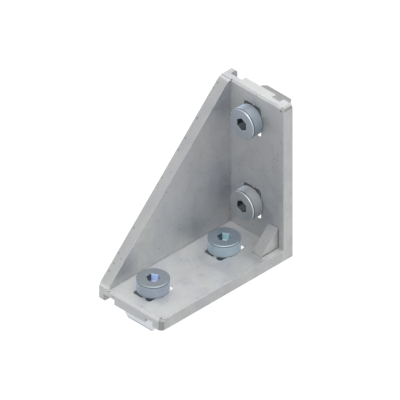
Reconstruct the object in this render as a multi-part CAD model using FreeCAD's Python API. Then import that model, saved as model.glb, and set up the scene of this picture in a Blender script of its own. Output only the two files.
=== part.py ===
# Right-angle corner bracket for slotted profile, with its socket screws and slot nuts.
# Millimetres. The origin is the corner where the two mounting planes meet, at mid-width.
# +X runs out along the floor leg, +Z up along the wall leg, +Y from the gusset to the open side.
# The floor leg mounts on the plane Z = 0 and the wall leg on the plane X = 0.

import FreeCAD, Part
import math
import os

V = FreeCAD.Vector

# Legs
width = 35.0
skin_thickness = 2.8
recess_depth = 2.3
corner_fillet = 1.0
free_corner_radius = 2.1
end_chamfer = 0.85

# Side gusset with its lip over the edge of the profile
gusset_thickness = 5.2
toe_height = 6.0
toe_radius = 5.0
root_fillet = 0.9
lip_thickness = 2.4
lip_drop = 1.5
lip_corner_radius = 1.5

# Corner rib near the open side
rib_width = 5.2
rib_inset = 3.0
rib_leg = 9.5

# Back of each leg: open-side rim and slotted contact pad
rim_width = 5.0
gusset_channel = 6.2
rim_channel = 4.4

# Screws
screw_diameter = 8.0
screw_length = 14.0
head_diameter = 13.5
head_height = 5.5
head_chamfer = 0.35
hex_across_flats = 5.0
hex_depth = 3.4
hex_mouth_chamfer = 0.12
neck_diameter = 6.2
neck_length = 6.0
shank_chamfer = 0.9

# Slotted holes, one under each screw, from the corner to the end of the leg
hole_first = 21.0
hole_pitch = 40.0
end_margin = 13.0
slot_play = 0.8
slot_length = 14.0
slot_corner_radius = 1.2

# The corner-side end of each slot leans back under the leg's face, below a thin upright lip
slot_end_lip = 0.3
slot_end_lean = 48.0

# The screws as tightened sit a little off the middle of their slots
screw_shift_in = 0.6
slot_side_gap = 0.1

# Slot nuts
nut_depth = 9.6
nut_body_height = 4.5
nut_width = 17.2
nut_length = 12.5
nut_chamfer = 1.9
nut_bore_offset = 1.1
nut_neck_width = 7.8
nut_neck_gap = 1.2
nut_end_round = 0.6
thread_gap = 0.05

# Worked out from the sizes above
HOLE_NAMES = ("inner", "outer")
hole_places = [hole_first + index * hole_pitch for index in range(len(HOLE_NAMES))]
leg_length = hole_places[-1] + end_margin
leg_thickness = skin_thickness + recess_depth
gusset_face = -width / 2
open_edge = width / 2
slot_width = screw_diameter + 2 * slot_play
screw_side_shift = -(slot_play - slot_side_gap)
pad_low = gusset_face + lip_thickness + gusset_channel
pad_high = open_edge - rim_width - rim_channel
CUT_MARGIN = 1.0


def block(x_low, x_high, y_low, y_high, z_low, z_high):
    """A box between two corners."""
    return Part.makeBox(x_high - x_low, y_high - y_low, z_high - z_low, V(x_low, y_low, z_low))


def rounded_wire(corners):
    """A closed wire in the plane Y = 0 through (x, z, radius) corners, each rounded by its radius."""
    points = [V(x, 0, z) for x, z, radius in corners]
    count = len(corners)
    line_ends = []
    arcs = []
    for index, corner in enumerate(points):
        radius = corners[index][2]
        before = (points[index - 1] - corner).normalize()
        after = (points[(index + 1) % count] - corner).normalize()
        half_angle = before.getAngle(after) / 2
        setback = radius / math.tan(half_angle)
        start = corner + before * setback
        end = corner + after * setback
        line_ends.append((start, end))
        if radius > 0:
            inward = (before + after).normalize()
            centre = corner + inward * (radius / math.sin(half_angle))
            arcs.append(Part.Arc(start, centre - inward * radius, end).toShape())
    lines = []
    for index in range(count):
        line = Part.LineSegment(line_ends[index - 1][1], line_ends[index][0])
        lines.append(line.toShape())
    return Part.Wire(Part.__sortEdges__(lines + arcs))


def plate(corners, y_low, y_high):
    """A flat plate with the rounded outline of rounded_wire, from y_low to y_high."""
    face = Part.Face(rounded_wire(corners))
    face.translate(V(0, y_low, 0))
    return face.extrude(V(0, y_high - y_low, 0))


def swap_legs(shape):
    """The same shape on the other leg: X and Z change places."""
    return shape.mirror(V(0, 0, 0), V(1, 0, -1))


def angle_outline(outer, inner, fillet):
    """Corners of an L from the outer planes to the inner ones."""
    return [
        (outer, outer, 0),
        (leg_length, outer, 0),
        (leg_length, inner, 0),
        (inner, inner, fillet),
        (inner, leg_length, 0),
        (outer, leg_length, 0),
    ]


def gusset_outline(outer, outer_radius):
    """Corners of the gusset: a right triangle with its two sharp tips cut square and rounded."""
    return [
        (outer, outer, outer_radius),
        (leg_length, outer, outer_radius),
        (leg_length, toe_height, toe_radius),
        (toe_height, leg_length, toe_radius),
        (outer, leg_length, outer_radius),
    ]


def slot_outline(x, z):
    """A slot's flat outline at the height z, long along X and centred at x."""
    half_length = slot_length / 2
    half_width = slot_width / 2
    corners = [
        (-half_length, -half_width, slot_corner_radius),
        (half_length, -half_width, slot_corner_radius),
        (half_length, half_width, slot_corner_radius),
        (-half_length, half_width, slot_corner_radius),
    ]
    flat = Part.Face(rounded_wire(corners))
    flat.rotate(V(0, 0, 0), V(1, 0, 0), -90)
    flat.translate(V(x, 0, z))
    return flat


def hole_cutters():
    """The slots of the floor leg: for each an upright prism, and one that leans towards the corner."""
    top = leg_thickness + CUT_MARGIN
    lean_top = leg_thickness - slot_end_lip
    lean_drop = lean_top + CUT_MARGIN
    lean_run = lean_drop * math.tan(math.radians(slot_end_lean))
    cutters = []
    for x in hole_places:
        cutters.append(slot_outline(x, top).extrude(V(0, 0, -top - CUT_MARGIN)))
        cutters.append(slot_outline(x, lean_top).extrude(V(-lean_run, 0, -lean_drop)))
    return cutters


def free_corner_cutter():
    """What is cut from the floor leg's free corner to round it and to carry the end's chamfer round it."""
    x_centre = leg_length - free_corner_radius
    y_centre = open_edge - free_corner_radius
    top = leg_thickness + CUT_MARGIN
    square = block(x_centre, leg_length + CUT_MARGIN, y_centre, open_edge + CUT_MARGIN, -CUT_MARGIN, top)
    chamfer_start = leg_thickness - end_chamfer
    upright = Part.makeCylinder(
        free_corner_radius, chamfer_start + CUT_MARGIN, V(x_centre, y_centre, -CUT_MARGIN))
    chamfered = Part.makeCone(
        free_corner_radius, free_corner_radius - end_chamfer, end_chamfer, V(x_centre, y_centre, chamfer_start))
    return square.cut([upright, chamfered])


def end_chamfer_cutter():
    """The wedge that chamfers the end of the floor leg's inner face, from the gusset to the free corner."""
    low = leg_thickness - end_chamfer
    corners = [
        V(leg_length, 0, low),
        V(leg_length - end_chamfer, 0, leg_thickness),
        V(leg_length, 0, leg_thickness),
    ]
    wedge = Part.Face(Part.makePolygon(corners + corners[:1]))
    wedge.translate(V(0, gusset_face + gusset_thickness, 0))
    return wedge.extrude(V(0, width - gusset_thickness - free_corner_radius, 0))


def contact_pad():
    """The floor leg's raised pad, which bears on the profile on both sides of its slot."""
    return block(0, leg_length, pad_low, pad_high, 0, recess_depth)


def corner_rib():
    """The small slanted rib between the two legs near the open side."""
    tip = leg_thickness + rib_leg
    corners = [
        (recess_depth, recess_depth, 0),
        (tip, recess_depth, 0),
        (tip, leg_thickness, 0),
        (leg_thickness, tip, 0),
        (recess_depth, tip, 0),
    ]
    rib_high = open_edge - rib_inset
    return plate(corners, rib_high - rib_width, rib_high)


def root_edges(shape):
    """The edges where the gusset's inner face meets the inner faces of the legs."""
    gusset_inside = gusset_face + gusset_thickness
    found = []
    for edge in shape.Edges:
        box = edge.BoundBox
        on_gusset = abs(box.YMin - gusset_inside) < 1e-6 and abs(box.YMax - gusset_inside) < 1e-6
        along_floor = abs(box.ZMin - leg_thickness) < 1e-6 and abs(box.ZMax - leg_thickness) < 1e-6
        along_wall = abs(box.XMin - leg_thickness) < 1e-6 and abs(box.XMax - leg_thickness) < 1e-6
        if on_gusset and (along_floor or along_wall):
            found.append(edge)
    return found


def make_bracket():
    """The casting: legs, gusset, rib, pads, rim and lip, with its slots cut."""
    skin = plate(angle_outline(recess_depth, leg_thickness, corner_fillet), gusset_face, open_edge)
    rim = plate(angle_outline(0, recess_depth, 0), open_edge - rim_width, open_edge)
    lip = plate(gusset_outline(-lip_drop, lip_corner_radius), gusset_face, gusset_face + lip_thickness)
    web = plate(gusset_outline(recess_depth, 0), gusset_face, gusset_face + gusset_thickness)
    pad = contact_pad()
    body = skin.fuse([rim, lip, web, pad, swap_legs(pad), corner_rib()]).removeSplitter()
    body = body.makeFillet(root_fillet, root_edges(body))
    cutters = hole_cutters() + [free_corner_cutter(), end_chamfer_cutter()]
    body = body.cut(cutters + [swap_legs(cutter) for cutter in cutters])
    return body.removeSplitter()


def make_screw():
    """A low-head socket screw on +Z, with the seat of its head at Z = 0 and a neck under the head."""
    head_radius = head_diameter / 2
    shank_radius = screw_diameter / 2
    neck_radius = neck_diameter / 2
    neck_taper = shank_radius - neck_radius
    tip = -screw_length
    profile = [
        V(0, 0, tip),
        V(shank_radius - shank_chamfer, 0, tip),
        V(shank_radius, 0, tip + shank_chamfer),
        V(shank_radius, 0, -neck_length - neck_taper),
        V(neck_radius, 0, -neck_length),
        V(neck_radius, 0, 0),
        V(head_radius, 0, 0),
        V(head_radius, 0, head_height - head_chamfer),
        V(head_radius - head_chamfer, 0, head_height),
        V(0, 0, head_height),
    ]
    section = Part.Face(Part.makePolygon(profile + profile[:1]))
    body = section.revolve(V(0, 0, 0), V(0, 0, 1), 360)
    return body.cut(hex_socket())


def hex_socket():
    """The screw's key socket with its chamfered mouth, cut down from the top of the head."""
    corner_radius = hex_across_flats / 2 / math.cos(math.radians(30))
    corners = []
    for step in range(7):
        angle = math.radians(60 * step)
        corners.append(V(corner_radius * math.cos(angle), corner_radius * math.sin(angle), 0))
    prism = Part.Face(Part.makePolygon(corners)).extrude(V(0, 0, hex_depth + CUT_MARGIN))
    prism.translate(V(0, 0, head_height - hex_depth))
    mouth_radius = corner_radius + hex_mouth_chamfer / 2
    mouth = Part.makeCone(
        mouth_radius - hex_mouth_chamfer,
        mouth_radius,
        hex_mouth_chamfer,
        V(0, 0, head_height - hex_mouth_chamfer),
    )
    return prism.fuse(mouth)


def make_nut(wide_side):
    """A slot nut on the screw's axis, long along X, under the mounting plane Z = 0.

    Its bore is off the middle of its body, and wide_side is the sign of the Y side that reaches further.
    """
    low_side = wide_side * nut_bore_offset - nut_width / 2
    high_side = wide_side * nut_bore_offset + nut_width / 2
    half_neck = nut_neck_width / 2
    shoulder = -nut_depth + nut_body_height
    top = -nut_neck_gap
    outline = [
        (low_side + nut_chamfer, -nut_depth),
        (high_side - nut_chamfer, -nut_depth),
        (high_side, -nut_depth + nut_chamfer),
        (high_side, shoulder),
        (half_neck, shoulder),
        (half_neck, top),
        (-half_neck, top),
        (-half_neck, shoulder),
        (low_side, shoulder),
        (low_side, -nut_depth + nut_chamfer),
    ]
    points = [V(-nut_length / 2, y, z) for y, z in outline]
    body = Part.Face(Part.makePolygon(points + points[:1])).extrude(V(nut_length, 0, 0))
    bore_radius = screw_diameter / 2 + thread_gap
    bore = Part.makeCylinder(bore_radius, nut_depth + 2 * CUT_MARGIN, V(0, 0, -nut_depth - CUT_MARGIN))
    corner_edges = [edge for edge in body.Edges if is_upright_flank(edge, low_side, high_side)]
    return body.makeFillet(nut_end_round, corner_edges).cut(bore)


def is_upright_flank(edge, low_side, high_side):
    """True for the upright edges at the four corners of the nut's body."""
    box = edge.BoundBox
    upright = box.ZLength > 1e-6 and box.XLength < 1e-6 and box.YLength < 1e-6
    return upright and min(abs(box.YMin - low_side), abs(box.YMin - high_side)) < 1e-6


def leg_fasteners(nut_wide_side):
    """Every screw and nut of a leg, each with its node name, where they stand on the floor leg."""
    pieces = []
    for hole_name, hole_x in zip(HOLE_NAMES, hole_places):
        x = hole_x - screw_shift_in
        screw = make_screw()
        screw.translate(V(x, screw_side_shift, leg_thickness))
        nut = make_nut(nut_wide_side)
        nut.translate(V(x, screw_side_shift, 0))
        pieces.append(("screw_{}_" + hole_name, screw))
        pieces.append(("t_nut_{}_" + hole_name, nut))
    return pieces


def main():
    """Builds every node and writes each to its own file."""
    os.makedirs("parts", exist_ok=True)
    nodes = {"bracket": make_bracket()}
    for name, piece in leg_fasteners(nut_wide_side=-1):
        nodes[name.format("floor")] = piece
    for name, piece in leg_fasteners(nut_wide_side=1):
        nodes[name.format("wall")] = swap_legs(piece)
    for name, shape in nodes.items():
        print(name, "valid", shape.isValid(), "solids", len(shape.Solids), "mm3", round(shape.Volume, 1))
        shape.exportStep("parts/" + name + ".step")


main()
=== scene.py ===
"""The looks of a right-angle corner bracket for slotted profile, with its screws and slot nuts.

Lengths are in metres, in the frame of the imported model. The origin is the corner where the two
mounting planes meet, at mid-width. +X runs out along the floor leg, +Z up along the wall leg, and
+Y from the gusset to the open side.
"""

import logging
import math
from dataclasses import dataclass, field, replace
from enum import Enum

import bmesh
import bpy
import numpy as np
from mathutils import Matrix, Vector


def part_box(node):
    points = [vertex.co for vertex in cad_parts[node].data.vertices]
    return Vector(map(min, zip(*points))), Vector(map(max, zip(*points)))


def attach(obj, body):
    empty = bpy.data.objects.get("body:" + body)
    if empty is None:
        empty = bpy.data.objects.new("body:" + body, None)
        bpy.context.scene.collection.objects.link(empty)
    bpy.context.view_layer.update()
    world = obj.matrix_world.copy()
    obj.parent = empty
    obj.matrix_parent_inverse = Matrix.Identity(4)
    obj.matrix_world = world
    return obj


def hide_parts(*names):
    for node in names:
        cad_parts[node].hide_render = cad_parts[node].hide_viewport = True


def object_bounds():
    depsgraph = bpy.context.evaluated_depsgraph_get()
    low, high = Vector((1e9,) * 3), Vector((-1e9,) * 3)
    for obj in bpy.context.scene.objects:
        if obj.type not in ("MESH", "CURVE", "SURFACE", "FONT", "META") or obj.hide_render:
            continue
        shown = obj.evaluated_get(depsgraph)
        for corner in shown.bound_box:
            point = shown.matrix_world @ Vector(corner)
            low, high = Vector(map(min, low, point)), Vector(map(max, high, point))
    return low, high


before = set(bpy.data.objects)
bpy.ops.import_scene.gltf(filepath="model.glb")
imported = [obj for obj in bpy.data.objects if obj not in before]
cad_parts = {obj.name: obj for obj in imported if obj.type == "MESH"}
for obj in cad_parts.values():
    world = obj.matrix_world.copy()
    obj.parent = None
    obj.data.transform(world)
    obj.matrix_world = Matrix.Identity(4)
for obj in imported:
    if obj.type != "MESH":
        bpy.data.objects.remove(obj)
CAD_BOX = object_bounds()

MM = 0.001
BODY = "root"

# Face attributes of a screw: painted shade, painted glints, and satin from turning.
PAINTED_SHADE = "painted_shade"
PAINTED_GLINT = "painted_glint"
SATIN = "satin"

log = logging.getLogger("corner_bracket")

Colour = tuple[float, float, float]
Point = tuple[float, float, float]
WHITE: Colour = (1.0, 1.0, 1.0)
Socket, Tree = bpy.types.NodeSocket, bpy.types.NodeTree


class Leg(Enum):
    """The two legs of the bracket, by the name that their nodes carry."""

    FLOOR = "floor"
    WALL = "wall"


class Place(Enum):
    """The two holes of a leg, from the corner outwards."""

    INNER = "inner"
    OUTER = "outer"


def swap_legs(points: np.ndarray) -> np.ndarray:
    """Lets X and Z change places, which is a mirror, so faces on the points have to be turned round."""
    return points[..., ::-1]


def opaque(colour: object) -> object:
    """Gives a plain colour its alpha of 1, and leaves a node's output as it is."""
    return (*colour, 1.0) if isinstance(colour, tuple) else colour


class Graph:
    """A node tree, with short calls that add nodes and join their sockets."""

    def __init__(self, tree: Tree) -> None:
        """Keeps the tree that the nodes go into."""
        self.tree = tree

    def add(self, kind: str, inputs: dict | None = None, **settings: object) -> bpy.types.Node:
        """Adds one node.

        Args:
            kind: The node's type, without the leading ShaderNode.
            inputs: What each input takes, by name or number: a plain value, or another node's output.
            **settings: The node's own properties, such as operation or data_type.

        Returns:
            The new node.
        """
        node = self.tree.nodes.new("ShaderNode" + kind)
        for name, value in settings.items():
            setattr(node, name, value)
        for key, value in (inputs or {}).items():
            if isinstance(value, Socket):
                self.tree.links.new(value, node.inputs[key])
            else:
                node.inputs[key].default_value = value
        return node

    def group(self, tree: Tree, inputs: dict) -> bpy.types.NodeOutputs:
        """Adds a shared group with this material's own values and returns its outputs."""
        return self.add("Group", inputs, node_tree=tree).outputs

    def attribute(self, name: str) -> Socket:
        """Reads one of the piece's own face attributes."""
        return self.add("Attribute", attribute_name=name).outputs["Fac"]

    def math(self, operation: str, *values: object, clamp: bool = False) -> Socket:
        """Adds a Math node and returns its output."""
        node = self.add("Math", dict(enumerate(values)), operation=operation, use_clamp=clamp)
        return node.outputs[0]

    def product(self, result: object, *others: object) -> Socket:
        """Multiplies values, from left to right, and returns the last output."""
        for other in others:
            result = self.math("MULTIPLY", result, other)
        return result

    def vector(self, operation: str, *values: object) -> Socket:
        """Adds a Vector Math node and returns its vector, or the value of a product or a length."""
        node = self.add("VectorMath", dict(enumerate(values)), operation=operation)
        return node.outputs["Value" if operation in ("DOT_PRODUCT", "LENGTH") else "Vector"]

    def scaled(self, vector: Socket, scale: object) -> Socket:
        """Multiplies a vector by one value and returns the longer or shorter vector."""
        return self.add("VectorMath", {0: vector, "Scale": scale}, operation="SCALE").outputs["Vector"]

    def noise(self, vector: Socket, scale: object, detail: float, rough: float = 0.5) -> Socket:
        """Adds a Noise texture and returns its value, which is about 0.5 on average."""
        inputs = {"Vector": vector, "Scale": scale, "Detail": detail, "Roughness": rough}
        return self.add("TexNoise", inputs).outputs[0]

    def remap(self, value: object, low: object, high: object,
              to_low: object = 0.0, to_high: object = 1.0) -> Socket:
        """Maps one range onto another, smoothly and kept within it. It falls where low is above high."""
        inputs = {0: value, 1: low, 2: high, 3: to_low, 4: to_high}
        return self.add("MapRange", inputs, interpolation_type="SMOOTHSTEP").outputs[0]

    def blend(self, factor: object, first: object, second: object) -> Socket:
        """Mixes two colours, on the Mix node's colour inputs 6 and 7, and returns its output 2."""
        inputs = {0: factor, 6: opaque(first), 7: opaque(second)}
        return self.add("Mix", inputs, data_type="RGBA").outputs[2]

    def paint(self, under: object, mask: object, share: float, colour: Colour) -> Socket:
        """Lays a colour over another one, by a share of a mask, and returns the result."""
        return self.blend(self.product(mask, share), under, colour)


def empty_graph(owner: bpy.types.ID) -> Graph:
    """Turns on the nodes of a material or a world, and returns them emptied."""
    owner.use_nodes = True
    owner.node_tree.nodes.clear()
    return Graph(owner.node_tree)


class GroupGraph(Graph):
    """The nodes of a new shader node group with named inputs and outputs."""

    def __init__(self, name: str, inputs: dict, outputs: tuple[str, ...] = ("Mask",)) -> None:
        """Makes the group and its sockets.

        Args:
            name: The group's name.
            inputs: Each input's name with its default. A default of None is a vector input.
            outputs: The names of the outputs, which are all single values.
        """
        super().__init__(bpy.data.node_groups.new(name, "ShaderNodeTree"))
        for label, default in inputs.items():
            kind = "NodeSocketVector" if default is None else "NodeSocketFloat"
            socket = self.tree.interface.new_socket(label, in_out="INPUT", socket_type=kind)
            if default is not None:
                socket.default_value = default
        for label in outputs:
            self.tree.interface.new_socket(label, in_out="OUTPUT", socket_type="NodeSocketFloat")
        self.source = self.tree.nodes.new("NodeGroupInput").outputs
        self.sink = self.tree.nodes.new("NodeGroupOutput").inputs

    def __getitem__(self, label: str) -> Socket:
        """Returns what comes in at one of the group's inputs."""
        return self.source[label]

    def put_out(self, label: str, value: Socket) -> None:
        """Joins a value to one of the group's outputs."""
        self.tree.links.new(value, self.sink[label])


def grain_group() -> Tree:
    """Builds the group that gives a metal its uneven tone and its fine skin.

    Returns:
        A group with the outputs Tone, soft clouds from 0 to 1, and Skin, the height of a fine
        orange-peel surface from 0 to 1.
    """
    inputs = {"Vector": None, "Cloud Scale": 120.0, "Skin Scale": 1800.0}
    graph = GroupGraph("Metal grain", inputs, ("Tone", "Skin"))
    finer_scale, finer_share = 3.1, 0.4
    clouds = graph.noise(graph["Vector"], graph["Cloud Scale"], detail=4.0, rough=0.62)
    graph.put_out("Tone", graph.remap(clouds, low=0.3, high=0.7))
    coarse = graph.noise(graph["Vector"], graph["Skin Scale"], detail=2.0)
    finer = graph.noise(graph["Vector"], graph.product(graph["Skin Scale"], finer_scale), detail=1.0)
    skin = graph.math("MULTIPLY_ADD", finer, finer_share, graph.product(coarse, 1 - finer_share))
    graph.put_out("Skin", skin)
    return graph.tree


def scratch_group() -> Tree:
    """Builds the group that draws short straight scratches.

    Space is split into random cells. Each cell has a plane through its centre, turned at random, and a
    scratch lies where the surface is close to that plane and to the centre.

    Returns:
        A group with the output Mask, 1 in a scratch and 0 beside it.
    """
    inputs = {"Vector": None, "Scale": 90.0, "Width": 0.00006, "Length": 0.006, "Share": 0.5}
    graph = GroupGraph("Short scratches", inputs)
    cells = graph.add("TexVoronoi", {"Vector": graph["Vector"], "Scale": graph["Scale"]})
    local = graph.vector("SUBTRACT", graph["Vector"], cells.outputs["Position"])
    turn = graph.vector("NORMALIZE", graph.vector("SUBTRACT", cells.outputs["Color"], (0.5, 0.5, 0.5)))
    off_plane = graph.math("ABSOLUTE", graph.vector("DOT_PRODUCT", local, turn))
    in_line = graph.remap(off_plane, graph["Width"], 0.0)
    reach = graph.vector("LENGTH", local)
    in_reach = graph.remap(reach, graph.product(graph["Length"], 0.5), 0.0)
    chance = graph.add("SeparateColor", {0: cells.outputs["Color"]}).outputs[2]
    chosen = graph.math("LESS_THAN", chance, graph["Share"])
    graph.put_out("Mask", graph.product(in_line, in_reach, chosen))
    return graph.tree


def speck_group() -> Tree:
    """Builds the group that scatters small pits of uneven size.

    Each random cell holds one pit where its random number is under the share, and the pit's radius is a
    random part of the largest one. A little noise on the place makes its outline uneven.

    Returns:
        A group with the output Mask, 1 inside a pit and 0 outside it.
    """
    inputs = {"Vector": None, "Scale": 400.0, "Radius": 0.0003, "Share": 0.1}
    graph = GroupGraph("Scattered pits", inputs)
    wander_scale, wander_reach, smallest, solid_part = 2500.0, 0.0004, 0.3, 0.5
    wander = graph.add("TexNoise", {"Vector": graph["Vector"], "Scale": wander_scale}).outputs["Color"]
    shift = graph.scaled(graph.vector("SUBTRACT", wander, (0.5, 0.5, 0.5)), wander_reach)
    place = graph.vector("ADD", graph["Vector"], shift)
    cells = graph.add("TexVoronoi", {"Vector": place, "Scale": graph["Scale"]})
    off = graph.vector("SUBTRACT", place, cells.outputs["Position"])
    reach = graph.vector("LENGTH", off)
    first, second, _ = graph.add("SeparateColor", {0: cells.outputs["Color"]}).outputs
    chosen = graph.math("LESS_THAN", first, graph["Share"])
    part = graph.math("MULTIPLY_ADD", second, 1 - smallest, smallest)
    radius = graph.product(graph["Radius"], part)
    inside = graph.remap(reach, radius, graph.product(radius, solid_part))
    graph.put_out("Mask", graph.product(inside, chosen))
    return graph.tree


def edge_group() -> Tree:
    """Builds the group that finds worn edges.

    The surface normal averaged over a small radius is set against the real one. They part at edges and
    agree on flat ground, and noise breaks the mask up.

    Returns:
        A group with the output Mask, up to 1 on an edge and 0 on flat ground.
    """
    graph = GroupGraph("Worn edges", {"Vector": None, "Breakup Scale": 700.0})
    soft = graph.add("Bevel", {"Radius": 0.0005}, samples=4).outputs[0]
    real = graph.add("NewGeometry").outputs["Normal"]
    parting = graph.math("SUBTRACT", 1.0, graph.vector("DOT_PRODUCT", soft, real))
    edge = graph.remap(parting, low=0.002, high=0.06)
    breakup = graph.noise(graph["Vector"], graph["Breakup Scale"], detail=2.0)
    graph.put_out("Mask", graph.product(edge, graph.remap(breakup, low=0.35, high=0.6)))
    return graph.tree


def corner_shade_group(name: str, own_only: bool) -> Tree:
    """Builds the group for painted shade where surfaces meet, deep in corners and under heads.

    It takes the share of the sky over a point that something nearer than the reach hides.

    Args:
        name: The group's name.
        own_only: True where only the piece itself can hide the sky, and not its neighbours.

    Returns:
        A group with the output Mask, 1 deep in a corner or under a head and 0 in the open.
    """
    graph = GroupGraph(name, {"Reach": 0.0012})
    sky = graph.add("AmbientOcclusion", {"Distance": graph["Reach"]}, samples=8, only_local=own_only)
    hidden = graph.math("SUBTRACT", 1.0, sky.outputs["AO"])
    graph.put_out("Mask", graph.remap(hidden, low=0.05, high=0.25))
    return graph.tree


def drift_group() -> Tree:
    """Builds the group that lets a metal's tint drift in broad upright bands.

    Noise is read at places squeezed along Z, so its clouds are drawn out upwards.

    Returns:
        A group with the output Drift, from 0 to 1.
    """
    graph = GroupGraph("Tint bands", {"Vector": None, "Scale": 110.0, "Draw": 0.16}, ("Drift",))
    squeeze = graph.add("CombineXYZ", {0: 1.0, 1: 1.0, 2: graph["Draw"]}).outputs[0]
    drawn = graph.vector("MULTIPLY", graph["Vector"], squeeze)
    clouds = graph.noise(drawn, graph["Scale"], detail=2.0, rough=0.45)
    graph.put_out("Drift", graph.remap(clouds, low=0.36, high=0.64))
    return graph.tree


def rounded_corner_shade_group() -> Tree:
    """Builds the group that finds the middle of the legs' two rounded free corners, where shade is
    painted.

    The way out along a leg is the larger of X and Z. Both it and Y are measured from the centre line of
    the corner's round. The mask grows where they are positive and nearly equal.

    Returns:
        A group with the outputs Mask, 1 on the middle of a round and 0 elsewhere, for a band of painted
        shade, and Cap, the part of the mask that lies next to the leg's inner face, for more painted
        shade over a glint.
    """
    inputs = {"Vector": None, "Reach": 0.074, "Half Width": 0.0175, "Radius": 0.0021, "Thickness": 0.0051}
    graph = GroupGraph("Rubbed corners", inputs, ("Mask", "Cap"))
    nearly_none = 0.0001
    x, y, z = graph.add("SeparateXYZ", {0: graph["Vector"]}).outputs
    along = graph.math("MAXIMUM", x, z)
    out = graph.math("ADD", graph.math("SUBTRACT", along, graph["Reach"]), graph["Radius"])
    aside = graph.math("ADD", graph.math("SUBTRACT", y, graph["Half Width"]), graph["Radius"])
    nearer = graph.math("MAXIMUM", graph.math("MINIMUM", out, aside), 0.0)
    further = graph.math("MAXIMUM", graph.math("MAXIMUM", out, aside), nearly_none)
    mask = graph.remap(graph.math("DIVIDE", nearer, further), low=0.02, high=0.4)
    depth = graph.math("SUBTRACT", graph["Thickness"], graph.math("MINIMUM", x, z))
    graph.put_out("Mask", mask)
    graph.put_out("Cap", graph.product(mask, graph.remap(depth, low=0.0012, high=0.0006)))
    return graph.tree


def shaded_slope_group() -> Tree:
    """Builds the group that finds a slope from leg to leg, where X and Z add up to the same sum, for
    painted shade.

    Returns:
        A group with the output Mask, 1 on the slope and 0 elsewhere.
    """
    graph = GroupGraph(
        "Ground slope", {"Vector": None, "Sum": 0.0197, "Middle": 0.0119, "Half Width": 0.0025})
    x, y, z = graph.add("SeparateXYZ", {0: graph["Vector"]}).outputs
    over = graph.math("SUBTRACT", graph.math("ADD", x, z), graph["Sum"])
    on_plane = graph.remap(graph.math("ABSOLUTE", over), low=0.0005, high=0.0002)
    aside = graph.math("ABSOLUTE", graph.math("SUBTRACT", y, graph["Middle"]))
    within = graph.math("LESS_THAN", aside, graph["Half Width"])
    graph.put_out("Mask", graph.product(on_plane, within))
    return graph.tree


def stroke_group() -> Tree:
    """Builds the group that draws one straight scratch between two places.

    The nearest place on the line is the start plus the share of the way that the point lies along it,
    kept between 0 and 1. The mask falls off with the distance from there.

    Returns:
        A group with the output Mask, 1 on the scratch and 0 beside it.
    """
    inputs = {"Vector": None, "Start": None, "End": None, "Width": 0.0002}
    graph = GroupGraph("Placed scratch", inputs)
    way = graph.vector("SUBTRACT", graph["End"], graph["Start"])
    off = graph.vector("SUBTRACT", graph["Vector"], graph["Start"])
    along = graph.vector("DOT_PRODUCT", off, way)
    share = graph.math("DIVIDE", along, graph.vector("DOT_PRODUCT", way, way), clamp=True)
    to_line = graph.vector("SUBTRACT", off, graph.scaled(way, share))
    reach = graph.vector("LENGTH", to_line)
    graph.put_out("Mask", graph.remap(reach, graph["Width"], 0.0))
    return graph.tree


class Workshop:
    """The shared node groups, each built once."""

    def __init__(self) -> None:
        """Builds every group."""
        self.grain, self.drift, self.edges = grain_group(), drift_group(), edge_group()
        self.pits, self.scratches, self.stroke = speck_group(), scratch_group(), stroke_group()
        # Painted shade on the rounded free corners and on slopes from leg to leg.
        self.rubs, self.slope = rounded_corner_shade_group(), shaded_slope_group()
        # Painted shade in inner corners, at the casting's roots and under the heads and nuts.
        self.seat_shades = corner_shade_group("Dark seats", own_only=False)
        self.roots = corner_shade_group("Dark roots", own_only=True)


@dataclass(frozen=True)
class ShadedSlope:
    """A strip from one leg to the other: X and Z add up to the total, and Y is near the middle. It gets
    painted shade, and real nicks where nicked.
    """

    total: float
    middle: float
    dark: float
    nicked: bool = False


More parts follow.
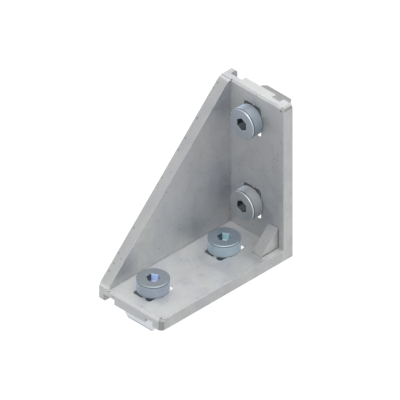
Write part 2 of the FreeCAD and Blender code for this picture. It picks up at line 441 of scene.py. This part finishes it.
@dataclass(frozen=True)
class MetalFinish:
    """One metal finish: its colour, its gloss and how strongly each surface effect shows, painted shade
    and painted glints among them.

    A dark, light or share is from 0 to 1, and a scale is the number of an effect's cells in a metre.
    """

    name: str
    slot: str
    colour: Colour
    dark_colour: Colour
    drift_colour: Colour
    drift_share: float
    roughness: float
    roughness_swing: float
    cloud_scale: float
    skin_scale: float
    skin_height: float
    tone_share: float
    pit_scale: float
    pit_radius: float
    pit_share: float
    pit_dark: float
    scratch_scale: float
    scratch_length: float
    scratch_width: float
    scratch_share: float
    scratch_dark: float
    edge_light: float
    # Reach and strength of the painted shade in inner corners and under heads.
    corner_shade_reach: float
    corner_shade: float
    metallic: float = 1.0
    strokes: tuple[tuple[Point, Point, float], ...] = ()
    stroke_dark: float = 0.3
    mark_colour: Colour = (0.02, 0.02, 0.022)
    mark_roughness: float = 0.25
    mark_depth: float = 0.00004
    edge_colour: Colour = (0.92, 0.93, 0.94)
    # Colour of that painted shade, and whether only the piece itself hides the sky for it.
    corner_shade_colour: Colour = (0.03, 0.032, 0.034)
    own_shade_only: bool = False
    # Painted shade in a band on the rounded free corners, and more of it over their glint next to the
    # inner face.
    band_shade: float = 0.0
    band_shade_colour: Colour = (0.16, 0.163, 0.16)
    cap_shade: float = 0.22
    cap_shade_colour: Colour = (0.05, 0.05, 0.05)
    # Painted shade on slopes; its colour also darkens the real nicks.
    slopes: tuple[ShadedSlope, ...] = ()
    shade_and_nick_colour: Colour = (0.1, 0.1, 0.1)
    nick_scale: float = 620.0
    nick_radius: float = 0.0007
    nick_share: float = 0.8
    nick_dark: float = 0.6
    nick_range: tuple[float, float] = (-0.0154, -0.0162)
    # Painted shade and painted glints from a screw's face attributes.
    painted_shade_share: float = 0.0
    painted_shade_colour: Colour = (0.055, 0.07, 0.078)
    glint_colour: Colour = (0.53, 0.61, 0.76)
    satin_rise: float = 0.0

    def marks(self, graph: Graph, shop: Workshop, place: Socket) -> Socket:
        """Draws the scattered pits and scratches and the placed strokes.

        Args:
            graph: The material's nodes.
            shop: The shared node groups.
            place: The point's place on the piece.

        Returns:
            The darkness of the darkest mark at the point, from 0 to 1.
        """
        pits = graph.group(shop.pits, {
            "Vector": place, "Scale": self.pit_scale, "Radius": self.pit_radius, "Share": self.pit_share})
        scratches = graph.group(shop.scratches, {
            "Vector": place, "Scale": self.scratch_scale, "Width": self.scratch_width,
            "Length": self.scratch_length, "Share": self.scratch_share})
        marks = graph.math("MAXIMUM", graph.product(pits["Mask"], self.pit_dark),
                           graph.product(scratches["Mask"], self.scratch_dark))
        for start, end, width in self.strokes:
            stroke = graph.group(shop.stroke, {
                "Vector": place, "Start": start, "End": end, "Width": width})["Mask"]
            marks = graph.math("MAXIMUM", marks, graph.product(stroke, self.stroke_dark))
        return marks

    def wear_and_shade(self, graph: Graph, shop: Workshop, place: Socket, colour: Socket) -> Socket:
        """Brightens worn edges, darkens nicks, and paints shade into inner corners, under heads, on the
        rounded corners and on slopes.

        Args:
            graph: The material's nodes.
            shop: The shared node groups.
            place: The point's place on the piece.
            colour: The colour below the wear.

        Returns:
            The colour with worn edges, nicks and painted shade on it.
        """
        edges = graph.group(shop.edges, {"Vector": place})["Mask"]
        # Painted shade in inner corners and under heads, where nearby surfaces hide the sky.
        meeting = shop.roots if self.own_shade_only else shop.seat_shades
        corners = graph.group(meeting, {"Reach": self.corner_shade_reach})["Mask"]
        worn = graph.product(edges, graph.math("SUBTRACT", 1.0, corners))
        colour = graph.paint(colour, worn, self.edge_light, self.edge_colour)
        colour = graph.paint(colour, corners, self.corner_shade, self.corner_shade_colour)
        # Painted shade on the rounded free corners, and over their glint next to the inner face.
        if self.band_shade:
            shade_band = graph.group(shop.rubs, {"Vector": place})
            colour = graph.paint(colour, shade_band["Mask"], self.band_shade, self.band_shade_colour)
            colour = graph.paint(colour, shade_band["Cap"], self.cap_shade, self.cap_shade_colour)
        # Painted shade on each slope, and real nicks along the gusset's outer edge in the same colour.
        for slope in self.slopes:
            mask = graph.group(shop.slope, {
                "Vector": place, "Sum": slope.total, "Middle": slope.middle})["Mask"]
            colour = graph.paint(colour, mask, slope.dark, self.shade_and_nick_colour)
            if slope.nicked:
                y = graph.add("SeparateXYZ", {0: place}).outputs[1]
                nicks = graph.group(shop.pits, {
                    "Vector": place, "Scale": self.nick_scale, "Radius": self.nick_radius,
                    "Share": self.nick_share})["Mask"]
                nicks = graph.product(nicks, graph.product(mask, graph.remap(y, *self.nick_range)))
                colour = graph.paint(colour, nicks, self.nick_dark, self.shade_and_nick_colour)
        return colour

    def material(self, shop: Workshop) -> bpy.types.Material:
        """Builds the finish as a material.

        Args:
            shop: The shared node groups.

        Returns:
            The material.
        """
        made = bpy.data.materials.new(self.name)
        graph = empty_graph(made)
        place = graph.add("TexCoord").outputs["Object"]
        grain = graph.group(shop.grain, {
            "Vector": place, "Cloud Scale": self.cloud_scale, "Skin Scale": self.skin_scale})
        drift = graph.group(shop.drift, {"Vector": place})["Drift"]
        marks = self.marks(graph, shop, place)

        colour = graph.paint(self.colour, grain["Tone"], self.tone_share, self.dark_colour)
        colour = graph.paint(colour, drift, self.drift_share, self.drift_colour)
        colour = graph.blend(marks, colour, self.mark_colour)
        colour = self.wear_and_shade(graph, shop, place, colour)
        # Painted shade and painted glints, read from the screw's face attributes.
        if self.painted_shade_share:
            colour = graph.paint(colour, graph.attribute(PAINTED_SHADE), self.painted_shade_share, self.painted_shade_colour)
            colour = graph.blend(graph.attribute(PAINTED_GLINT), colour, self.glint_colour)

        least = self.roughness - self.roughness_swing / 2
        rough = graph.math("MULTIPLY_ADD", grain["Tone"], self.roughness_swing, least)
        if self.satin_rise:
            rough = graph.math("MULTIPLY_ADD", graph.attribute(SATIN), self.satin_rise, rough)
        rough = graph.math("MULTIPLY_ADD", marks, self.mark_roughness, rough, clamp=True)
        height = graph.math("SUBTRACT", graph.product(grain["Skin"], self.skin_height),
                            graph.product(marks, self.mark_depth))
        bump = graph.add("Bump", {"Height": height, "Strength": 1.0, "Distance": 1.0})
        shader = graph.add("BsdfPrincipled", {
            "Base Color": colour, "Roughness": rough, "Normal": bump.outputs[0],
            "Metallic": self.metallic})
        graph.add("OutputMaterial", {"Surface": shader.outputs[0]})
        return made


CAST_ALUMINIUM = MetalFinish(
    name="tumbled cast aluminium", slot="cast_aluminium",
    colour=(0.445, 0.45, 0.445), dark_colour=(0.345, 0.355, 0.355),
    drift_colour=(0.365, 0.372, 0.40), drift_share=0.6,
    roughness=0.50, roughness_swing=0.10,
    cloud_scale=170.0, skin_scale=1500.0, skin_height=0.000008, tone_share=0.62,
    pit_scale=420.0, pit_radius=0.0004, pit_share=0.5, pit_dark=0.6,
    scratch_scale=110.0, scratch_length=0.007, scratch_width=0.00016,
    scratch_share=0.5, scratch_dark=0.3,
    edge_light=0.12, corner_shade_reach=0.0007, corner_shade=0.42, own_shade_only=True, band_shade=0.7,
    # Painted shade on two slopes from leg to leg, the second on the gusset.
    slopes=(ShadedSlope(0.0197, 0.0119, dark=0.42), ShadedSlope(0.0800, -0.0149, dark=0.26, nicked=True)),
    strokes=(
        ((0.0350, -0.0032, 0.0051), (0.0374, 0.0022, 0.0051), 0.00022),
        ((0.0362, -0.0066, 0.0051), (0.0370, -0.0035, 0.0051), 0.0003),
        ((0.0403, 0.0052, 0.0051), (0.0400, 0.0068, 0.0051), 0.0007),
        ((0.0262, 0.0132, 0.0051), (0.0272, 0.0172, 0.0040), 0.0004),
        ((0.0051, -0.0012, 0.0366), (0.0051, 0.0008, 0.0362), 0.0003),
        ((0.0105, -0.0123, 0.0262), (0.0112, -0.0123, 0.0275), 0.0003),
    ),
)

ZINC_SCREW = MetalFinish(
    name="blue zinc plated screw", slot="zinc_screw",
    colour=(0.225, 0.25, 0.275), dark_colour=(0.19, 0.215, 0.24),
    drift_colour=(0.205, 0.24, 0.255), drift_share=0.4,
    roughness=0.42, roughness_swing=0.06,
    cloud_scale=260.0, skin_scale=2600.0, skin_height=0.000003, tone_share=0.35,
    pit_scale=900.0, pit_radius=0.00012, pit_share=0.03, pit_dark=0.3,
    scratch_scale=220.0, scratch_length=0.003, scratch_width=0.00003,
    scratch_share=0.35, scratch_dark=0.15,
    edge_light=0.1, corner_shade_reach=0.0006, corner_shade=0.6, painted_shade_share=0.95, satin_rise=0.42,
)

ZINC_NUT = MetalFinish(
    name="zinc plated slot nut", slot="zinc_nut",
    colour=(0.585, 0.61, 0.635), dark_colour=(0.49, 0.515, 0.54),
    drift_colour=(0.58, 0.60, 0.66), drift_share=0.4,
    roughness=0.38, roughness_swing=0.06, metallic=0.95,
    cloud_scale=200.0, skin_scale=2200.0, skin_height=0.000004, tone_share=0.4,
    pit_scale=700.0, pit_radius=0.00015, pit_share=0.04, pit_dark=0.4,
    scratch_scale=160.0, scratch_length=0.004, scratch_width=0.00004,
    scratch_share=0.4, scratch_dark=0.2,
    edge_light=0.15, corner_shade_reach=0.0008, corner_shade=0.5,
)

# The wall nuts: the floor nuts' plating painted darker, as shade on their tops.
SHADED_NUT = replace(
    ZINC_NUT, name="slot nut with painted shade",
    colour=(0.27, 0.272, 0.272), dark_colour=(0.235, 0.238, 0.24), drift_colour=(0.26, 0.26, 0.27),
)

SCREW_FINISHES = {
    (Leg.FLOOR, Place.OUTER): ZINC_SCREW,
    # The inner floor screw's glint colour paints a teal reflection into its socket.
    (Leg.FLOOR, Place.INNER): replace(
        ZINC_SCREW, name="greenish zinc plated screw", glint_colour=(0.47, 0.60, 0.64),
        colour=(0.248, 0.293, 0.335), dark_colour=(0.21, 0.25, 0.29), drift_colour=(0.23, 0.275, 0.31)),
    # The wall screws' colours are lighter than the floor screws': painted light on the same plating.
    (Leg.WALL, Place.OUTER): replace(
        ZINC_SCREW, name="wall outer screw painted lighter",
        colour=(0.365, 0.41, 0.46), dark_colour=(0.31, 0.35, 0.40), drift_colour=(0.34, 0.38, 0.44)),
    (Leg.WALL, Place.INNER): replace(
        ZINC_SCREW, name="wall inner screw painted lighter",
        colour=(0.42, 0.435, 0.45), dark_colour=(0.355, 0.372, 0.39), drift_colour=(0.385, 0.41, 0.42)),
}


def finish_piece(piece: bpy.types.Object, material: bpy.types.Material, node: str) -> None:
    """Dresses a new piece and gives it its place in the model.

    Args:
        piece: The finished piece, with its place in its mesh.
        material: Its material.
        node: The solid that it stands for.
    """
    piece.data.materials.append(material)
    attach(piece, BODY)
    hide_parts(node)
    triangles = sum(len(polygon.vertices) - 2 for polygon in piece.data.polygons)
    log.info("%s stands for %s, about %d triangles before modifiers", piece.name, node, triangles)


def mesh_piece(name: str, points: np.ndarray, faces: list) -> bpy.types.Object:
    """Makes an object from points and faces.

    Args:
        name: The piece's name.
        points: Points, one row each, in metres.
        faces: Faces as rows of point numbers, counter-clockwise seen from outside.

    Returns:
        The object, at the origin and linked to the scene.
    """
    mesh = bpy.data.meshes.new(name)
    mesh.from_pydata(points.tolist(), [], faces)
    mesh.validate()
    piece = bpy.data.objects.new(name, mesh)
    bpy.context.scene.collection.objects.link(piece)
    return piece


@dataclass
class RoundedSolid:
    """A machined or cast solid whose sharp edges are rounded a little.

    A root corner is the point where three inner faces meet. The fillets between them are narrowed.
    """

    node: str
    name: str
    edge_radius: float
    weld_step: float = 1e-7
    flat_angle: float = math.radians(0.5)
    edge_angle: float = math.radians(28)
    root_share: float = 0.3
    root_corner: Point | None = None
    root_radius: float = 0.9 * MM
    root_scale: float = 0.3
    on_face: float = 1e-6
    past_root: float = 1e-5
    segments: int = 3

    def welded_mesh(self) -> tuple[np.ndarray, np.ndarray]:
        """Joins the solid's loose triangles into one closed surface.

        Points that round to the same place on a fine grid become one point.

        Returns:
            The points, and the triangles as rows of point numbers.
        """
        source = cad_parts[self.node].data
        source.calc_loop_triangles()
        points = np.empty(len(source.vertices) * 3, np.float32)
        source.vertices.foreach_get("co", points)
        corners = np.empty(len(source.loop_triangles) * 3, np.int32)
        source.loop_triangles.foreach_get("vertices", corners)
        cells = np.round(points.reshape(-1, 3).astype(float) / self.weld_step)
        _, first, merged = np.unique(cells, axis=0, return_index=True, return_inverse=True)
        triangles = merged.reshape(-1)[corners].reshape(-1, 3)
        proper = (triangles != np.roll(triangles, 1, axis=1)).all(axis=1)
        return points.reshape(-1, 3)[first], triangles[proper]

    def tighten_roots(self, points: np.ndarray) -> np.ndarray:
        """Narrows the fillets along the three inner faces' meeting lines.

        A point belongs to a fillet where it is within the fillet's radius of two of the faces. Its
        distances from those two are scaled down, so the fillet shrinks towards the meeting line and
        its ends slide along the faces.

        Args:
            points: The solid's points.

        Returns:
            The points, with the fillets' ones moved.
        """
        if self.root_corner is None:
            return points
        gap = points - np.array(self.root_corner)
        near = (gap > -self.on_face) & (gap < self.root_radius + self.past_root)
        in_root = near & (near.sum(axis=1, keepdims=True) > 1)
        return points - gap * in_root * (1 - self.root_scale)

    def weigh_edges(self, shape: bmesh.types.BMesh) -> None:
        """Says how much each edge is rounded: outer edges in full, inner ones by a share of it.

        Args:
            shape: The surface, whose edges get their bevel weights.
        """
        weight = shape.edges.layers.float.new("bevel_weight_edge")
        for edge in shape.edges:
            turn = edge.calc_face_angle_signed(0.0)
            outer, inner = turn > self.edge_angle, turn < -self.edge_angle
            edge[weight] = float(outer) + self.root_share * float(inner)

    def build(self) -> bpy.types.Object:
        """Builds the solid with its flat faces whole and its edges rounded.

        Returns:
            The piece, with a live Bevel modifier.
        """
        points, triangles = self.welded_mesh()
        piece = mesh_piece(self.name, self.tighten_roots(points), triangles.tolist())
        shape = bmesh.new()
        shape.from_mesh(piece.data)
        bmesh.ops.dissolve_limit(shape, angle_limit=self.flat_angle, verts=shape.verts, edges=shape.edges)
        self.weigh_edges(shape)
        shape.to_mesh(piece.data)
        shape.free()
        piece.data.shade_smooth()
        bevel = piece.modifiers.new("rounded edges", "BEVEL")
        bevel.width = self.edge_radius
        bevel.segments = self.segments
        bevel.limit_method = "WEIGHT"
        bevel.harden_normals = True
        bevel.use_clamp_overlap = True
        return piece


@dataclass
class SocketScrew:
    """A low-head socket screw, turned about the axis of its solid.

    Its surface is one grid. A row is a ring of points round the axis, and the rows run from the tip of
    the shank over the thread and the head to the bottom of the key socket. The socket's sides are
    numbered from 0, by their angle. Names that end in shade or bright are strengths from 0 to 1 of
    painted shade and painted glints.
    """

    leg: Leg
    place: Place
    columns: int = 144
    shank_diameter: float = 8.0 * MM
    pitch: float = 1.25 * MM
    thread_depth: float = 0.62 * MM
    flank_gain: float = 1.25
    crest_cut: float = 0.1
    rows_per_turn: int = 10
    tip_chamfer: float = 0.9 * MM
    neck_diameter: float = 6.2 * MM
    neck_length: float = 6.0 * MM
    head_height: float = 5.5 * MM
    rim_round: float = 0.35 * MM
    groove_width: float = 0.45 * MM
    groove_depth: float = 0.22 * MM
    seat_round: float = 0.15 * MM
    across_flats: float = 5.0 * MM
    mouth_chamfer: float = 0.05 * MM
    top_inner_radius: float = 3.4 * MM
    socket_depth: float = 3.4 * MM
    drill_point: float = 0.5 * MM
    sharp_angle: float = math.radians(32)
    # Strengths of the painted shade and painted glints on the socket and the head's side.
    shaded_side: int = 4
    dim_side: int = 2
    dim_bright: float = 0.35
    side_shade: float = 0.9
    socket_shade: float = 0.88
    turned_shade: float = 0.55
    turned_bright: float = 0.16
    gusset_bright: float = 0.6

    @property
    def node(self) -> str:
        """The name of the solid that the screw stands for."""
        return f"screw_{self.leg.value}_{self.place.value}"

    def hexagon(self, angle: np.ndarray) -> np.ndarray:
        """Distance to a hexagon's side: half its width over the cosine of the angle to its middle."""
        to_middle = np.mod(angle, math.pi / 3) - math.pi / 6
        return self.across_flats / 2 / np.cos(to_middle)

    def thread(self, length: float, angle: np.ndarray) -> tuple[np.ndarray, np.ndarray]:
        """The threaded shank below the seat.

        The height above the tip and the angle give a phase, which grows by one for each pitch and falls
        by one for each turn. The radius dips along the phase as a triangle wave with blunted crests and
        roots. At the tip the radius stays under a cone, and above the thread it slopes in to the neck,
        or steps out where the neck is a collar.

        Args:
            length: The shank's length.
            angle: The angle of each column.

        Returns:
            The radius and the height of each point, as arrays of rows by columns.
        """
        count = int(length / self.pitch * self.rows_per_turn)
        height = np.linspace(0.0, length, count)[:, None] + np.zeros_like(angle)[None, :]
        phase = height / self.pitch - angle[None, :] / (2 * math.pi)
        wave = np.abs(2 * np.mod(phase, 1.0) - 1)
        dip = np.clip(self.flank_gain * wave - self.crest_cut, 0.0, 1.0)
        radius = self.shank_diameter / 2 - self.thread_depth * dip
        cone = self.shank_diameter / 2 - self.tip_chamfer + height
        neck_start, neck = length - self.neck_length, self.neck_diameter / 2
        slope = neck + (neck_start - height)
        threaded = np.minimum(np.minimum(radius, cone), np.maximum(slope, neck))
        return np.where(height > neck_start, neck, threaded), height

    def head(self, length: float, head_radius: float, angle: np.ndarray) -> tuple[np.ndarray, np.ndarray]:
        """The head above the seat, with its rounded rim and its key socket.

        The rim and the seat's edge are quarter circles, and a fine groove with sloping sides is turned
        into the head just below the rim. The flat top runs in to a hexagon a little wider than the
        key's, from which a small chamfer leads down into the socket.

        Args:
            length: The height of the seat above the tip.
            head_radius: The head's largest radius.
            angle: The angle of each column.

        Returns:
            The radius and the height of each point, as arrays of rows by columns.
        """
        top = length + self.head_height
        below_rim, mouth, floor = top - self.rim_round, top - self.mouth_chamfer, top - self.socket_depth
        seat_edge, rim = np.linspace(0.0, math.pi / 2, 7)[1:], np.linspace(0.0, math.pi / 2, 11)[1:]
        seat_radius, seat_height = head_radius - self.seat_round, length + self.seat_round
        groove_in, groove_down = np.array([1.0, 1.0, 0.0]), np.array([0.7, 0.3, 0.0])
        profile = [
            (np.linspace(self.neck_diameter / 2, seat_radius, 6), length),
            (seat_radius + self.seat_round * np.sin(seat_edge),
             seat_height - self.seat_round * np.cos(seat_edge)),
            (head_radius, np.linspace(seat_height, below_rim - self.groove_width, 6)[1:]),
            (head_radius - self.groove_depth * groove_in, below_rim - self.groove_width * groove_down),
            (head_radius - self.rim_round * (1 - np.cos(rim)), top - self.rim_round * (1 - np.sin(rim))),
            (np.linspace(head_radius - self.rim_round, self.top_inner_radius, 8)[1:], top),
        ]
        radius, height = np.concatenate([np.broadcast_arrays(*run) for run in profile], axis=1)
        side = self.hexagon(angle)
        chamfer = self.mouth_chamfer * np.array([[1.0], [0.4], [0.0]])
        down, inward = np.linspace(0.0, 1.0, 8)[1:, None], np.linspace(1.0, 0.15, 5)[1:, None]
        parts = [
            (radius[:, None], height[:, None]),
            (side + chamfer, top - chamfer[::-1]),
            (side, mouth + (floor - mouth) * down),
            (side * inward, floor - self.drill_point * (1 - inward)),
        ]
        rings = [np.broadcast_arrays(*part, angle)[:2] for part in parts]
        return tuple(np.concatenate(values) for values in zip(*rings))

    def finish_marks(self, radius: np.ndarray, height: np.ndarray, seat: float) -> dict[str, np.ndarray]:
        """Says how much painted shade, painted glint and satin each face has.

        A face is in the socket where it lies below the top and within the hexagon's corners, and its
        side of the hexagon is its angle in turns of 60 degrees. The shank, the neck, the head's
        underside and the groove below the rim get painted shade. So does a wall screw's whole socket, and
        one side of a floor screw's, whose other sides get painted glints. The head's turned side gets a
        painted glint that grows towards the gusset, with minus the sine of the angle, and a floor screw's
        is painted lighter all round as well. A wall screw's gets more painted shade away from the gusset.

        Args:
            radius: The distance of each grid point from the axis.
            height: The height of each grid point above the tip.
            seat: The height of the seat.

        Returns:
            A value from 0 to 1 for each face, the end fans last, by attribute name.
        """
        middle_radius = (radius[:-1] + radius[1:]) / 2
        middle_height = (height[:-1] + height[1:]) / 2
        column = np.arange(self.columns)
        side = (column * 6 // self.columns)[None, :] + np.zeros_like(middle_radius)
        to_gusset = np.clip(-np.sin((column + 0.5) * 2 * math.pi / self.columns), 0.0, 1.0)[None, :]
        top, below_rim = seat + self.head_height, seat + self.head_height - self.rim_round
        corner = self.across_flats / 2 / math.cos(math.pi / 6)
        socket = (middle_height > seat + self.seat_round) & (middle_height < top - self.mouth_chamfer / 2)
        socket &= middle_radius < corner + self.mouth_chamfer
        hidden = middle_height < seat + self.seat_round / 2
        groove = (middle_height < below_rim) & (middle_height > below_rim - self.groove_width) & ~socket
        turned = (middle_height > seat) & (middle_height < below_rim) & ~socket
        bright = turned * self.gusset_bright * to_gusset
        socket_shade, bottom_shade, bottom_bright = self.socket_shade, self.socket_shade, 0.0
        turned_shade = self.turned_shade * (1 - to_gusset)
        if self.leg is Leg.FLOOR:
            bright = bright + turned * self.turned_bright
            dim = np.where(side == self.dim_side, self.dim_bright, 1.0)
            bright = np.where(socket, np.where(side == self.shaded_side, 0.0, dim), bright)
            socket_shade = np.where(side == self.shaded_side, self.side_shade, 0.0)
            turned_shade, bottom_shade, bottom_bright = 0.0, 0.0, 1.0
        shaded = np.select([hidden | groove, socket, turned], [1.0, socket_shade, turned_shade], 0.0)
        marks = {PAINTED_SHADE: (shaded, [1.0, bottom_shade]), PAINTED_GLINT: (bright, [0.0, bottom_bright]),
                 SATIN: (turned, [0.0, 0.0])}
        return {name: np.append(faces, np.repeat(fans, self.columns)).astype(np.float32)
                for name, (faces, fans) in marks.items()}

    def build(self) -> bpy.types.Object:
        """Builds the screw where its solid stands.

        Returns:
            The piece, with sharp edges marked where the surface turns hard.
        """
        low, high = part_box(self.node)
        if self.leg is Leg.WALL:
            low, high = Vector(low.zyx), Vector(high.zyx)
        centre = (low + high) / 2
        head_radius = (high.y - low.y) / 2
        length = high.z - low.z - self.head_height
        angle = np.arange(self.columns) * 2 * math.pi / self.columns
        shank_radius, shank_height = self.thread(length, angle)
        head_rings, head_height = self.head(length, head_radius, angle)
        radius = np.concatenate([shank_radius, head_rings[1:]])
        height = np.concatenate([shank_height, head_height[1:]])
        rings = np.stack([
            centre.x + radius * np.cos(angle)[None, :],
            centre.y + radius * np.sin(angle)[None, :],
            low.z + height,
        ], axis=-1)
        poles = np.array([[centre.x, centre.y, low.z], [centre.x, centre.y, low.z + height[-1, 0]]])
        points = np.concatenate([rings.reshape(-1, 3), poles])
        faces = closed_rings(rings.shape[0], self.columns)
        if self.leg is Leg.WALL:
            points = swap_legs(points)
            faces = [face[::-1] for face in faces]
        piece = mesh_piece(f"{self.node}_turned", points, faces)
        piece.data.shade_smooth()
        piece.data.set_sharp_from_angle(angle=self.sharp_angle)
        for name, values in self.finish_marks(radius, height, length).items():
            piece.data.attributes.new(name, "FLOAT", "FACE").data.foreach_set("value", values)
        return piece


def closed_rings(rows: int, columns: int) -> list:
    """Faces over a stack of rings that is closed by a point at each end.

    Args:
        rows: The number of rings.
        columns: The number of points in a ring.

    Returns:
        Quads between neighbouring rings, and a fan of triangles to each end point. The end points come
        after the rings' own points, the first ring's first.
    """
    number = np.arange(rows * columns).reshape(rows, columns)
    beside = np.roll(number, -1, axis=1)
    quads = np.stack([number[:-1], beside[:-1], beside[1:], number[1:]], axis=-1).reshape(-1, 4)
    first, last = rows * columns, rows * columns + 1
    low_fan = np.stack([beside[0], number[0], np.full(columns, first)], axis=-1)
    high_fan = np.stack([number[-1], beside[-1], np.full(columns, last)], axis=-1)
    return quads.tolist() + low_fan.tolist() + high_fan.tolist()


def aim(holder: bpy.types.Object, target: Vector, back: Vector, distance: float) -> None:
    """Puts a new lamp or camera into the scene, turned to face its target.

    Args:
        holder: The lamp's or camera's object.
        target: The place that it looks at.
        back: The way from there to the object, one metre long.
        distance: How far along it the object is.
    """
    holder.location = target + back * distance
    holder.rotation_euler = (-back).to_track_quat("-Z", "Y").to_euler()
    bpy.context.scene.collection.objects.link(holder)


@dataclass(frozen=True)
class Lamp:
    """A soft square lamp that looks at the bracket from two angles in degrees.

    The azimuth turns from minus Y towards plus X. A lamp without shadows fills the inner corner.
    """

    name: str
    azimuth: float
    elevation: float
    power: float
    size: float = 0.5
    distance: float = 0.6
    casts_shadow: bool = True


@dataclass
class Studio:
    """The pale floor, the soft lamps, the white surroundings and the camera."""

    target: Vector = field(default_factory=lambda: Vector((0.03, 0.0, 0.03)))
    floor_size: float = 6.0
    floor_colour: Colour = (0.8, 0.8, 0.8)
    floor_white: float = 0.9
    ambient: float = 1.0
    image_pixels: float = 400.0
    pixels_per_metre: float = 2510.7
    origin_pixel: tuple[float, float] = (261.57, 238.14)
    camera_distance: float = 1.0
    lamps: tuple[Lamp, ...] = (
        Lamp("high softbox", azimuth=225.0, elevation=70.0, power=2.8),
        Lamp("high fill", azimuth=225.0, elevation=70.0, power=4.8, casts_shadow=False),
        Lamp("rear softbox", azimuth=315.0, elevation=70.0, power=0.3),
        Lamp("front softbox", azimuth=135.0, elevation=25.0, power=1.0),
        Lamp("front fill", azimuth=135.0, elevation=25.0, power=3.2, casts_shadow=False),
        Lamp("side fill", azimuth=85.0, elevation=15.0, power=1.5, casts_shadow=False),
    )

    def seen_directly(self, graph: Graph) -> Socket:
        """A value of 1 for camera, glossy and transmitted rays, and 0 for the light that they carry."""
        path = graph.add("LightPath").outputs
        straight = graph.math("MAXIMUM", path["Is Camera Ray"], path["Is Glossy Ray"])
        return graph.math("MAXIMUM", straight, path["Is Transmission Ray"])

    def add_world(self) -> None:
        """Surrounds the scene with even white light."""
        world = bpy.data.worlds.new("white room")
        graph = empty_graph(world)
        background = graph.add("Background", {"Color": opaque(WHITE), "Strength": self.ambient})
        graph.add("OutputWorld", {"Surface": background.outputs[0]})
        bpy.context.scene.world = world

    def add_floor(self) -> None:
        """Lays the floor under the lowest point of the bracket and its nuts."""
        half = self.floor_size / 2
        height = CAD_BOX[0].z
        signs = ((-1, -1), (1, -1), (1, 1), (-1, 1))
        corners = np.array([(x * half, y * half, height) for x, y in signs])
        floor = mesh_piece("studio_floor", corners, [(0, 1, 2, 3)])
        material = bpy.data.materials.new("pale floor")
        graph = empty_graph(material)
        paint = graph.add("BsdfDiffuse", {"Color": opaque(self.floor_colour)}).outputs[0]
        white = graph.add("Emission", {"Color": opaque(WHITE), "Strength": 1.0}).outputs[0]
        share = graph.product(self.seen_directly(graph), self.floor_white)
        mixed = graph.add("MixShader", {0: share, 1: paint, 2: white}).outputs[0]
        graph.add("OutputMaterial", {"Surface": mixed})
        floor.data.materials.append(material)

    def add_lamps(self) -> None:
        """Hangs each lamp at its distance from the target and turns it to face the target."""
        for lamp in self.lamps:
            azimuth, elevation = math.radians(lamp.azimuth), math.radians(lamp.elevation)
            back = Vector((
                math.sin(azimuth) * math.cos(elevation),
                -math.cos(azimuth) * math.cos(elevation),
                math.sin(elevation),
            ))
            light = bpy.data.lights.new(lamp.name, "AREA")
            light.shape = "SQUARE"
            light.size = lamp.size
            light.energy = lamp.power
            light.use_shadow = lamp.casts_shadow
            aim(bpy.data.objects.new(lamp.name, light), self.target, back, lamp.distance)

    def add_camera(self) -> None:
        """Sets up the isometric view, in which the origin falls on its own pixel.

        The view has no perspective. The camera looks along minus (1, 1, 1), so a step of one metre
        across the view moves a point by a fixed number of pixels.
        """
        across = Vector((-1.0, 1.0, 0.0)).normalized()
        upward = Vector((-1.0, -1.0, 2.0)).normalized()
        back = Vector((1.0, 1.0, 1.0)).normalized()
        middle = self.image_pixels / 2
        right_of_middle = (self.origin_pixel[0] - middle) / self.pixels_per_metre
        below_middle = (self.origin_pixel[1] - middle) / self.pixels_per_metre
        looked_at = upward * below_middle - across * right_of_middle
        data = bpy.data.cameras.new("isometric camera")
        data.type = "ORTHO"
        data.ortho_scale = self.image_pixels / self.pixels_per_metre
        data.clip_start, data.clip_end = 0.01, 10.0
        camera = bpy.data.objects.new("isometric camera", data)
        aim(camera, looked_at, back, self.camera_distance)
        bpy.context.scene.camera = camera

    def build(self) -> None:
        """Builds the whole studio."""
        bpy.context.scene.view_settings.view_transform = "Standard"
        self.add_camera()
        self.add_world()
        self.add_floor()
        self.add_lamps()
        log.info("studio with %d lamps", len(self.lamps))


@dataclass
class CornerBracket:
    """The whole set: the casting, its four screws and their four slot nuts."""

    shop: Workshop
    casting_edge: float = 0.35 * MM
    nut_edge: float = 0.3 * MM
    inner_corner: Point = (5.1 * MM, -12.3 * MM, 5.1 * MM)
    wall_collar_diameter: float = 8.8 * MM
    wall_collar_length: float = 4.5 * MM

    def build_casting(self) -> None:
        """Builds the cast bracket."""
        casting = RoundedSolid(
            "bracket", "bracket_casting", edge_radius=self.casting_edge, root_corner=self.inner_corner)
        material = CAST_ALUMINIUM.material(self.shop)
        finish_piece(casting.build(), material, casting.node)

    def build_fasteners(self) -> None:
        """Builds each leg's screws and nuts."""
        nut_materials = {Leg.FLOOR: ZINC_NUT.material(self.shop), Leg.WALL: SHADED_NUT.material(self.shop)}
        for leg in Leg:
            for place in Place:
                screw = SocketScrew(leg, place)
                if leg is Leg.WALL:
                    screw.neck_diameter = self.wall_collar_diameter
                    screw.neck_length = self.wall_collar_length
                finish = SCREW_FINISHES[leg, place]
                finish_piece(screw.build(), finish.material(self.shop), screw.node)
                node = f"t_nut_{leg.value}_{place.value}"
                nut = RoundedSolid(node=node, name=f"{node}_milled", edge_radius=self.nut_edge)
                finish_piece(nut.build(), nut_materials[leg], node)

    def build(self) -> None:
        """Builds every piece."""
        self.build_casting()
        self.build_fasteners()


def main() -> None:
    """Builds the studio and the bracket."""
    logging.basicConfig(level=logging.INFO, format="%(name)s: %(message)s")
    Studio().build()
    CornerBracket(Workshop()).build()


if __name__ == "__main__":
    main()
